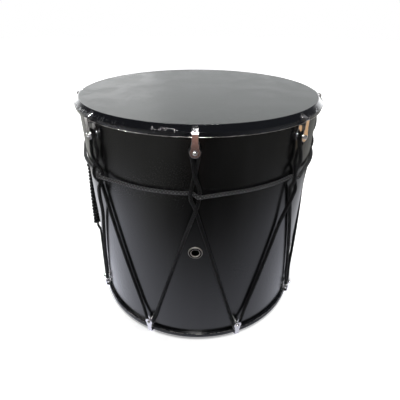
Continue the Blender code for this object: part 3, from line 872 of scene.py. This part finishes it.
def hook_shape():
    """One hook in its own frame: the outer strip from claw to eye, and the inner leaf."""
    size = hooks()
    collar = inset(head_outline(), -body().gap)
    slope = atan2(body().collar_depth, hoop_radius() - flat_radius())
    along = (cos(slope), -sin(slope))
    reach = (collar[1][1] + size.strip * cos(slope) + body().gap) / sin(slope)
    tip = (collar[1][0] + along[0] * reach, collar[1][1] + along[1] * reach)
    foot = (outer_leaf(), -size.eye_depth - size.eye_radius)
    corner = (outer_leaf(), -size.arm_depth - size.strip / 2)
    rest = (tip[0] + along[0] * size.claw_rest, tip[1] + along[1] * size.claw_rest)
    under = [tip, rest, *fillet(rest, corner, foot, size.bend, 10), foot]
    path = spaced(inset(under, -size.strip / 2))
    widths = []
    for row, (radius, z) in enumerate(path):
        end = min(row * STEP / CLAW_ROUNDING, 1.0)
        narrowed = CLAW_TIP + (1 - CLAW_TIP) * sqrt(end * (2 - end))
        widths.append(leaf_half_width(-z) * narrowed)
    hook = strip(path, widths, size.strip)
    lip = body().skirt_depth + body().gap + body().lip_height
    bridge = -lip - size.bridge_clearance - size.strip / 2
    inner = inner_leaf() + size.strip / 2
    path = [
        (outer_leaf() + size.strip * 0.3, bridge),
        *fillet((outer_leaf(), bridge), (inner, bridge), (inner, foot[1]), size.bridge_bend, 6),
        (inner, foot[1]),
    ]
    path = spaced(path)
    leaf = strip(path, [leaf_half_width(-z) for radius, z in path], size.strip)
    return hook, leaf


def joined(shapes, matrix, name):
    """One mesh from several closed shapes."""
    whole = bmesh.new()
    for shape in shapes:
        mesh = bpy.data.meshes.new("part")
        shape.to_mesh(mesh)
        whole.from_mesh(mesh)
        bpy.data.meshes.remove(mesh)
    bmesh.ops.transform(whole, matrix=matrix, verts=whole.verts)
    return finished(whole, name, radians(18))


def at_hooks():
    """The end, the number and the placing matrix of every hook."""
    for i in range(hooks().count):
        yield "top", i + 1, at_top(upper_angle(i))
        yield "bottom", i + 1, at_bottom(lower_angle(i))


class DRUM_OT_build_hooks(Operator):
    """Bend the hooks' strips with rounded edges and set one at each place on the hoops."""

    bl_idname = "drum.build_hooks"
    bl_label = "Build hooks"

    def execute(self, context):
        chrome = plated("hook_chrome", hooks().chrome, 0.07)
        shapes = hook_shape()
        for end, number, matrix in at_hooks():
            name = f"claw_{end}_{number}"
            piece(name, joined(shapes, matrix, name), chrome, [f"hook_{end}_{number}"])
        for shape in shapes:
            shape.free()
        return {"FINISHED"}


class DRUM_OT_build_rivets(Operator):
    """Turn the rivets, with domed heads outside and flat feet inside."""

    bl_idname = "drum.build_rivets"
    bl_label = "Build rivets"

    def execute(self, context):
        size = hooks()
        top = inner_leaf() - body().gap
        foot = top - size.foot_height
        corner = size.foot_height / 2
        base = outer_leaf() + size.strip
        dome = []
        for step in range(7):
            turn = pi / 2 * step / 6
            lift = size.rivet_rim + size.rivet_height * sin(turn)
            dome.append((size.rivet_radius * cos(turn), base + lift))
        dome[-1] = (0.0, dome[-1][1])
        outline = [
            (0.0, foot),
            (size.foot_radius - corner, foot),
            (size.foot_radius, foot + corner),
            (size.foot_radius, top),
            (size.pin_radius, top),
            (size.pin_radius, base),
            (size.rivet_radius, base),
            *dome,
        ]
        steel = plated("rivet_steel", size.steel, 0.10)
        for end, number, matrix in at_hooks():
            name = f"stud_{end}_{number}"
            mesh = turned(name, outline, RIVET_ROUND, matrix @ at_pin())
            piece(name, mesh, steel, [f"rivet_{end}_{number}"])
        return {"FINISHED"}


# Ropes


def eased(low, high, along):
    """From low to high with long level ends, as along goes from 0 to 1."""
    along = min(max(along, 0.0), 1.0)
    return low + (high - low) * along**3 * (10 - 15 * along + 6 * along**2)


def taut_radius(start, end, along):
    """Radius of a taut rope at a share of the turn between two (angle, radius) ends.

    It lies on the shell or leaves it in a straight line.
    """
    turn = abs(end[0] - start[0])
    angle = turn * along
    straight = start[1] * end[1] * sin(turn)
    straight /= end[1] * sin(turn - angle) + start[1] * sin(angle)
    leave = max(0.0, angle - turn + acos(rope_on_shell() / end[1]))
    return max(straight, rope_on_shell() / cos(leave))


class Strand:
    """One of the two strands below an upper hook, which is a diagonal below its second crossing.

    Side 1 starts on the right and ends at the right-hand lower hook, and passes inside its partner
    at the crossings. Side -1 mirrors it and passes outside.
    """

    def __init__(self, hook, side):
        size = ropes()
        seat = pin_seat()
        pin = hooks().eye_depth
        self.side = side
        self.angle = upper_angle(hook)
        self.wound = hook == size.wound_hook and side == 1
        lower = lower_angle(hook if side == 1 else hook - 1) - self.angle
        span = abs(lower) * rope_at_pin()
        drop = body().height - pin - size.second_crossing
        self.upper_lean = asin(seat / (size.first_crossing - pin))
        self.lower_lean = atan2(span, drop) - asin(seat / hypot(span, drop))
        last = body().height - pin + seat * sin(self.lower_lean)
        self.knots = [
            (pin + seat * sin(self.upper_lean), seat * cos(self.upper_lean)),
            (size.first_crossing, 0.0),
            (size.waist, -size.pair_gap),
            (size.second_crossing, 0.0),
            (last, span - seat * cos(self.lower_lean)),
        ]
        slopes = [-tan(self.upper_lean)]
        for before, after in zip(self.knots, self.knots[2:]):
            slopes.append((after[1] - before[1]) / (after[0] - before[0]))
        self.slopes = [*slopes, tan(self.lower_lean)]

    def aside(self, depth):
        """Way to the side of the upper hook, on a smooth curve through the knots."""
        for i, ((low, x0), (high, x1)) in enumerate(zip(self.knots, self.knots[1:])):
            if depth <= high:
                break
        t = (depth - low) / (high - low)
        bend0, bend1 = self.slopes[i] * (high - low), self.slopes[i + 1] * (high - low)
        return (
            (2 * t**3 - 3 * t**2 + 1) * x0
            + (t**3 - 2 * t**2 + t) * bend0
            + (3 * t**2 - 2 * t**3) * x1
            + (t**3 - t**2) * bend1
        )

    def radius(self, depth):
        """Way from the drum's axis. A diagonal stays near the shell between the hooks."""
        crossing = rope_on_shell() if self.side == 1 else rope_outside()
        waist = rope_outside() if self.side == 1 else rope_on_shell()
        levels = [rope_at_pin(), crossing, waist, crossing]
        for i in range(3):
            low, high = self.knots[i][0], self.knots[i + 1][0]
            if depth <= high:
                return eased(levels[i], levels[i + 1], (depth - low) / (high - low))
        low, high = self.knots[3][0], self.knots[4][0]
        ends = ((0.0, crossing), (self.knots[4][1] / rope_at_pin(), rope_at_pin()))
        along = (depth - low) / (high - low)
        taut = taut_radius(*ends, along)
        size = ropes()
        if not self.wound:
            settling = eased(1.0, size.slack, along / size.settle)
            lifting = eased(1.0, size.slack, (1.0 - along) / size.lift)
            return rope_on_shell() + (taut - rope_on_shell()) * max(settling, lifting)
        lifted = body().shell_radius + size.clearance + coil_radius() + size.cord_in_frame / 2
        return eased(taut, lifted, self.squeeze(depth))

    def squeeze(self, depth):
        """1 inside the winding, 0 well away from it."""
        if not self.wound:
            return 0.0
        size = ropes()
        top = size.winding_depth - size.cord_in_frame - size.wound_ease
        bottom = size.winding_depth + size.turns * size.pitch + size.cord_in_frame + size.wound_ease
        before = (depth - top) / size.wound_ease
        after = (bottom - depth) / size.wound_ease
        return min(max(min(before, after), 0.0), 1.0)

    def point(self, depth):
        angle = self.angle + self.side * self.aside(depth) / rope_at_pin()
        return placed(angle, self.radius(depth), depth)

    def route(self):
        """(point, thickness) all along the strand, from its upper pin down."""
        steps = 320
        low, high = self.knots[0][0], self.knots[-1][0]
        thin = ropes().squeezed / ropes().rope - 1.0
        found = []
        for step in range(steps + 1):
            depth = low + (high - low) * step / steps
            found.append((self.point(depth), 1.0 + thin * self.squeeze(depth)))
        return found


def seat_route(angle, depth, lean, over):
    """(point, thickness) round a pin, over it or under it, from left to right without the ends."""
    steps = 20
    seat = pin_seat()
    sweep = pi + 2 * lean if over == 1 else pi - 2 * lean
    found = []
    for step in range(1, steps):
        turn = sweep * (step / steps - 0.5)
        aside = seat * sin(turn)
        level = depth - over * seat * cos(turn)
        found.append((placed(angle + aside / rope_at_pin(), rope_at_pin(), level), 1.0))
    return found


def evenly(route, step, cyclic):
    """Points and thicknesses of a route at even steps along it."""
    line = np.array([tuple(point) for point, thickness in route])
    thick = np.array([thickness for point, thickness in route])
    if cyclic:
        line = np.vstack([line, line[:1]])
        thick = np.append(thick, thick[0])
    gone = np.append(0.0, np.cumsum(np.linalg.norm(np.diff(line, axis=0), axis=1)))
    count = max(4, round(gone[-1] / step))
    at = np.linspace(0.0, gone[-1], count + 1)
    if cyclic:
        at = at[:-1]
    points = np.column_stack([np.interp(at, gone, line[:, axis]) for axis in range(3)])
    return points, np.interp(at, gone, thick), gone[-1]


def braided(name, route, thickness, plait, cyclic):
    """A plaited rope along a route: a round tube whose skin rises and falls with the plaits."""
    points, thick, reach = evenly(route, plait / RINGS, cyclic)
    curve = bpy.data.curves.new(name, "CURVE")
    curve.dimensions = "3D"
    curve.twist_mode = "MINIMUM"
    curve.bevel_depth = thickness / 2
    curve.bevel_resolution = (SIDES - 4) // 2
    curve.use_fill_caps = not cyclic
    spline = curve.splines.new("POLY")
    spline.points.add(len(points) - 1)
    spline.points.foreach_set("co", np.column_stack([points, np.ones(len(points))]).ravel())
    spline.points.foreach_set("radius", thick)
    spline.use_cyclic_u = cyclic
    obj = bpy.data.objects.new(name, curve)
    bpy.context.scene.collection.objects.link(obj)
    mesh = evaluated(obj)
    bpy.data.objects.remove(obj)
    plaits = round(reach / plait)
    for texel in mesh.uv_layers[0].data:
        texel.uv = (texel.uv.x * plaits, texel.uv.y * STRANDS)
    count = len(points) * SIDES
    place = np.zeros(len(mesh.vertices) * 3)
    mesh.vertices.foreach_get("co", place)
    place = place.reshape(-1, 3)
    ring, side = np.divmod(np.arange(count), SIDES)
    along = ring / (len(points) if cyclic else len(points) - 1) * plaits
    round_it = (1 - side / SIDES) * STRANDS
    swell = np.abs(np.sin(pi * (along + round_it))) * np.abs(np.sin(pi * (along - round_it)))
    sink = ropes().relief * (thickness / ropes().rope) * (1 - swell**PLAIT_ROUNDING)
    outward = place[:count] - points[ring]
    outward /= np.linalg.norm(outward, axis=1)[:, None]
    place[:count] -= outward * sink[:, None]
    mesh.vertices.foreach_set("co", place.ravel())
    mesh.update()
    mesh.shade_smooth()
    return mesh


class DRUM_OT_build_lacing(Operator):
    """Plait the lacing rope along its zigzag between the upper and the lower pins."""

    bl_idname = "drum.build_lacing"
    bl_label = "Build lacing"

    def execute(self, context):
        size = ropes()
        pin = hooks().eye_depth
        count = hooks().count
        route = []
        for i in range(count):
            left, right = Strand(i, -1), Strand(i, 1)
            route += left.route()[::-1]
            route += seat_route(upper_angle(i), pin, left.upper_lean, 1)
            route += right.route()
            lean = (right.lower_lean + Strand((i + 1) % count, -1).lower_lean) / 2
            route += seat_route(lower_angle(i), body().height - pin, lean, -1)
        mesh = braided("laced_braid", route, size.rope + size.extra, size.plait, True)
        look = braid("lacing_braid", size.dark, size.light, 0.2)
        piece("laced_braid", mesh, look, ["lacing_rope"])
        return {"FINISHED"}


class DRUM_OT_build_waist(Operator):
    """Plait the waist rope, behind one strand of each pair and in front of the other."""

    bl_idname = "drum.build_waist"
    bl_label = "Build waist rope"

    def execute(self, context):
        size = ropes()
        half = size.pair_gap / rope_at_pin()
        free = acos(rope_on_shell() / rope_outside())
        steps = 120
        route = []
        for i in range(hooks().count):
            start = upper_angle(i)
            rest = start + half + free
            for step in range(steps):
                angle = start - half + hook_step() * step / steps
                off = angle - start
                if off <= half:
                    along = (off + half) / (2 * half)
                    radius = eased(rope_on_shell(), rope_outside(), along)
                    sway = eased(-size.sway, size.sway, along)
                else:
                    along = (off - half) / (hook_step() - 2 * half)
                    radius = rope_on_shell() / cos(max(0.0, rest - angle))
                    sway = size.sway * (1 - 2 * along)
                route.append((placed(angle, radius, size.waist + sway), 1.0))
        mesh = braided("waist_plait", route, size.rope, size.waist_plait, True)
        # Painted highlight on the waist rope: its plait tops, above 0.8 of their height, get 32 times the
        # light colour, the rest painted shade
        look = braid("waist_braid", size.dark, shaded(size.light, 32.0), 0.8, 0.8)
        piece("waist_plait", mesh, look, ["waist_rope"])
        return {"FINISHED"}


class DRUM_OT_build_winding(Operator):
    """Wind the cord round its strand, with a short straight end above and below."""

    bl_idname = "drum.build_winding"
    bl_label = "Build winding"

    def execute(self, context):
        size = ropes()
        strand = Strand(size.wound_hook, 1)
        steps = 48
        radius = coil_radius() - (size.cord - size.cord_in_frame) / 2
        near = 0.001
        route = []
        for i in range(size.turns * steps + 1):
            turn = 2 * pi * i / steps
            depth = size.winding_depth + size.pitch * i / steps
            centre = strand.point(depth)
            along = (strand.point(depth + near) - strand.point(depth - near)).normalized()
            out = Vector((centre.x, centre.y, 0)).normalized()
            out = (out - along * out.dot(along)).normalized()
            route.append((centre + radius * (cos(turn) * out + sin(turn) * along.cross(out)), 1.0))
        first = (route[0][0] - route[1][0]).normalized() * size.cord_in_frame
        last = (route[-1][0] - route[-2][0]).normalized() * size.cord_in_frame
        route = [(route[0][0] + first, 1.0), *route, (route[-1][0] + last, 1.0)]
        mesh = braided("coiled_cord", route, size.cord, size.cord_plait, False)
        look = braid("cord_braid", size.dark, size.light, 0.2)
        piece("coiled_cord", mesh, look, ["wound_cord"])
        return {"FINISHED"}


# Stage


def add_lamp(name, place, target, size, watts, glint):
    """A soft box that looks at a target. A glint shows only in glossy pieces, the others only light."""
    lamp = bpy.data.lights.new(name, "AREA")
    lamp.shape = "RECTANGLE"
    lamp.size, lamp.size_y = size
    lamp.energy = watts
    obj = bpy.data.objects.new(name, lamp)
    obj.visible_diffuse = not glint
    obj.visible_glossy = glint
    obj.location = place
    obj.rotation_euler = (Vector(target) - Vector(place)).to_track_quat("-Z", "Y").to_euler()
    bpy.context.scene.collection.objects.link(obj)


def floor_finish(stage):
    """Pale paper under the drum, which each kind of ray sees in its own way.

    The camera sees it white but for the drum's shadow and a painted contact shadow, a dark line at its foot.
    The glossy pieces mirror a room: a bright sheet under the drum, a table round it, the boards of the floor
    in front and a brass-coloured thing at the right. Other rays see plain paper. Places are in metres from
    the drum's axis.
    """
    look = Finish("floor_paper", Base_Color=stage.paper, Roughness=0.9)
    look.set(Base_Color=look.blend(look.grain(300.0, 2.0), shaded(stage.paper, 0.985), stage.paper))
    paper = look.shader.outputs[0]
    parts = look.split(look.place)
    x, y = parts["X"], parts["Y"]

    under = look.window((x, -0.80, -0.38), (x, 0.85, 0.15), (y, -0.55, -0.13), (y, 0.46, 0.24))
    edges = look.total(look.between(x, -0.20, 0.20, 0.42, 0.22), look.between(x, 0.28, 0.42, 0.0, 0.16))
    level = look.total(
        look.between(x, -0.25, 0.15, 1.08, 0.64),
        look.product(look.between(y, -0.20, -0.08), edges),
    )
    close = look.window((y, -0.42, -0.26), (y, 0.12, -0.04))
    sheet = look.glow(look.blend(close, stage.sheet_glow, stage.near_glow), look.product(under, level))

    around = look.total(
        look.window((y, 0.20, 0.34), (x, -0.30, 0.30, 0.60, 0.22)),
        look.window((x, -0.05, -0.45, 0.03, 0.28), (y, 0.02, -0.22, 0.3, 1.0)),
        look.between(x, 0.05, 0.80, 0.0, 0.12),
    )
    table = look.glow(stage.table_glow, look.product(around, look.math("SUBTRACT", 1.0, under)))

    aside = look.math("ABSOLUTE", look.total(x, 0.02))
    boards = look.window((y, -0.99, -1.17, 0.18, 1.0), (y, -0.70, -0.90), (aside, 0.10, 0.04))
    wood = look.glow(stage.wood_glow, boards)
    beside = look.window((x, 0.95, 1.02), (y, 0.06, 0.16), (y, 0.40, 0.34))
    brass = look.glow(stage.brass_glow, beside)

    away = look.distance(look.place, AROUND_Z)
    # Painted shadow: the camera-seen glow is 0.80 near the drum, rising to 1.0 far off, and drops to 0.40 in
    # a painted contact shadow at the drum's foot
    white = look.window((away, 0.22, 0.50, 0.80, 1.0), (away, 0.1805, 0.1840, 0.40, 1.0))
    seen = look.node("ShaderNodeLightPath").outputs
    plain = look.mixed(seen["Is Glossy Ray"], paper, look.added(sheet, table, wood, brass))
    whole = look.mixed(seen["Is Camera Ray"], plain, look.added(paper, look.glow((1.0, 1.0, 1.0), white)))
    look.feed(look.tree.nodes["Material Output"].inputs["Surface"], whole)
    return look.material


def light_the_room(stage):
    """A pale room that is bright behind the drum and dim on the camera's side, brighter low down
    than high up. The camera sees it white."""
    world = bpy.data.worlds.new("room")
    bpy.context.scene.world = world
    world.use_nodes = True
    world.node_tree.nodes.clear()
    look = Nodes(world.node_tree, "Generated")
    parts = look.split(look.place)
    level = look.window(
        (parts["Y"], 0.34, 0.97, stage.front, stage.sky),
        (parts["Z"], 0.08, 0.30, 2.95, 0.22),
        (parts["X"], -0.55, 0.10, 0.95, 1.0),
    )
    room = look.node("ShaderNodeBackground", Color=(0.97, 0.985, 1.0), Strength=level).outputs[0]
    white = look.node("ShaderNodeBackground", Color=(1.0, 1.0, 1.0)).outputs[0]
    seen = look.node("ShaderNodeLightPath").outputs["Is Camera Ray"]
    look.node("ShaderNodeOutputWorld", Surface=look.mixed(seen, room, white))


FLOOR_RADIUS = 6.0
FLOOR_DROP = 0.0003

# Name, place, target, width and height, watts, and whether glossy pieces alone see the lamp
LAMPS = (
    ("key", (-0.75, 1.1, 1.8), (0, 0, 0.3), (1.2, 1.2), 25.0, False),
    ("side", (1.2, -0.4, 1.6), (0, 0, 0.25), (0.9, 0.9), 10.0, False),
    ("sheet", (-0.95, 1.95, 0.6), (0, 0, 0.35), (1.2, 1.2), 4.5, True),
    ("window", (-0.012, -0.62, 0.74), (0, -0.15, 0.3), (0.08, 0.08), 6.0, True),
    ("pane", (-0.80, -0.36, 0.80), (0, -0.15, 0.3), (0.06, 0.06), 4.0, True),
    ("tube", (-0.15, 0.15, 1.55), (-0.15, -0.15, 0.3), (0.9, 0.05), 16.0, True),
    ("spark", (0.0, 0.53, 1.5), (0, -0.15, 0.3), (0.05, 0.05), 0.04, True),
)


class DRUM_OT_build_stage(Operator):
    """Set up the camera, the floor, the room's light and the lamps."""

    bl_idname = "drum.build_stage"
    bl_label = "Build stage"

    def execute(self, context):
        stage = context.scene.drum_stage
        level = Vector((sin(stage.yaw), cos(stage.yaw), 0.0))
        forward = cos(stage.pitch) * level - Vector((0.0, 0.0, sin(stage.pitch)))
        right = Vector((level.y, -level.x, 0.0))
        up = right.cross(forward)
        across = cos(stage.roll) * right + sin(stage.roll) * up
        upward = cos(stage.roll) * up - sin(stage.roll) * right
        data = bpy.data.cameras.new("camera")
        data.lens = stage.lens
        data.sensor_width = 36.0
        data.shift_x, data.shift_y = stage.shift
        data.clip_start = 0.01
        camera = bpy.data.objects.new("camera", data)
        turn = Matrix((across, upward, -forward)).transposed().to_4x4()
        camera.matrix_world = Matrix.Translation(stage.eye) @ turn
        context.scene.collection.objects.link(camera)
        context.scene.camera = camera

        bm = bmesh.new()
        bmesh.ops.create_circle(bm, cap_ends=True, radius=FLOOR_RADIUS, segments=64)
        bmesh.ops.translate(bm, verts=bm.verts, vec=(0, 0, -FLOOR_DROP))
        floor = bpy.data.objects.new("floor", finished(bm, "floor"))
        floor.data.materials.append(floor_finish(stage))
        context.scene.collection.objects.link(floor)

        light_the_room(stage)
        for lamp in LAMPS:
            add_lamp(*lamp)
        context.scene.view_settings.view_transform = "Standard"
        return {"FINISHED"}


class DRUM_PT_panel(Panel):
    """The drum's pieces, in the order in which they are built."""

    bl_idname = "DRUM_PT_panel"
    bl_label = "Drum"
    bl_space_type = "VIEW_3D"
    bl_region_type = "UI"
    bl_category = "Drum"

    def draw(self, context):
        for operator in OPERATORS:
            self.layout.operator(operator.bl_idname)


SETTINGS = {"drum_body": DrumBody, "drum_hooks": DrumHooks, "drum_ropes": DrumRopes, "drum_stage": DrumStage}
OPERATORS = (
    DRUM_OT_build_stage,
    DRUM_OT_build_shell,
    DRUM_OT_build_vent,
    DRUM_OT_build_heads,
    DRUM_OT_build_flesh_hoops,
    DRUM_OT_build_hooks,
    DRUM_OT_build_rivets,
    DRUM_OT_build_lacing,
    DRUM_OT_build_waist,
    DRUM_OT_build_winding,
)


def register():
    for cls in (*SETTINGS.values(), *OPERATORS, DRUM_PT_panel):
        bpy.utils.register_class(cls)
    for name, cls in SETTINGS.items():
        setattr(bpy.types.Scene, name, PointerProperty(type=cls))


def unregister():
    for name in SETTINGS:
        delattr(bpy.types.Scene, name)
    for cls in (DRUM_PT_panel, *OPERATORS[::-1], *SETTINGS.values()):
        bpy.utils.unregister_class(cls)


def main():
    register()
    for operator in OPERATORS:
        group, name = operator.bl_idname.split(".")
        getattr(getattr(bpy.ops, group), name)()


if __name__ == "__main__":
    main()
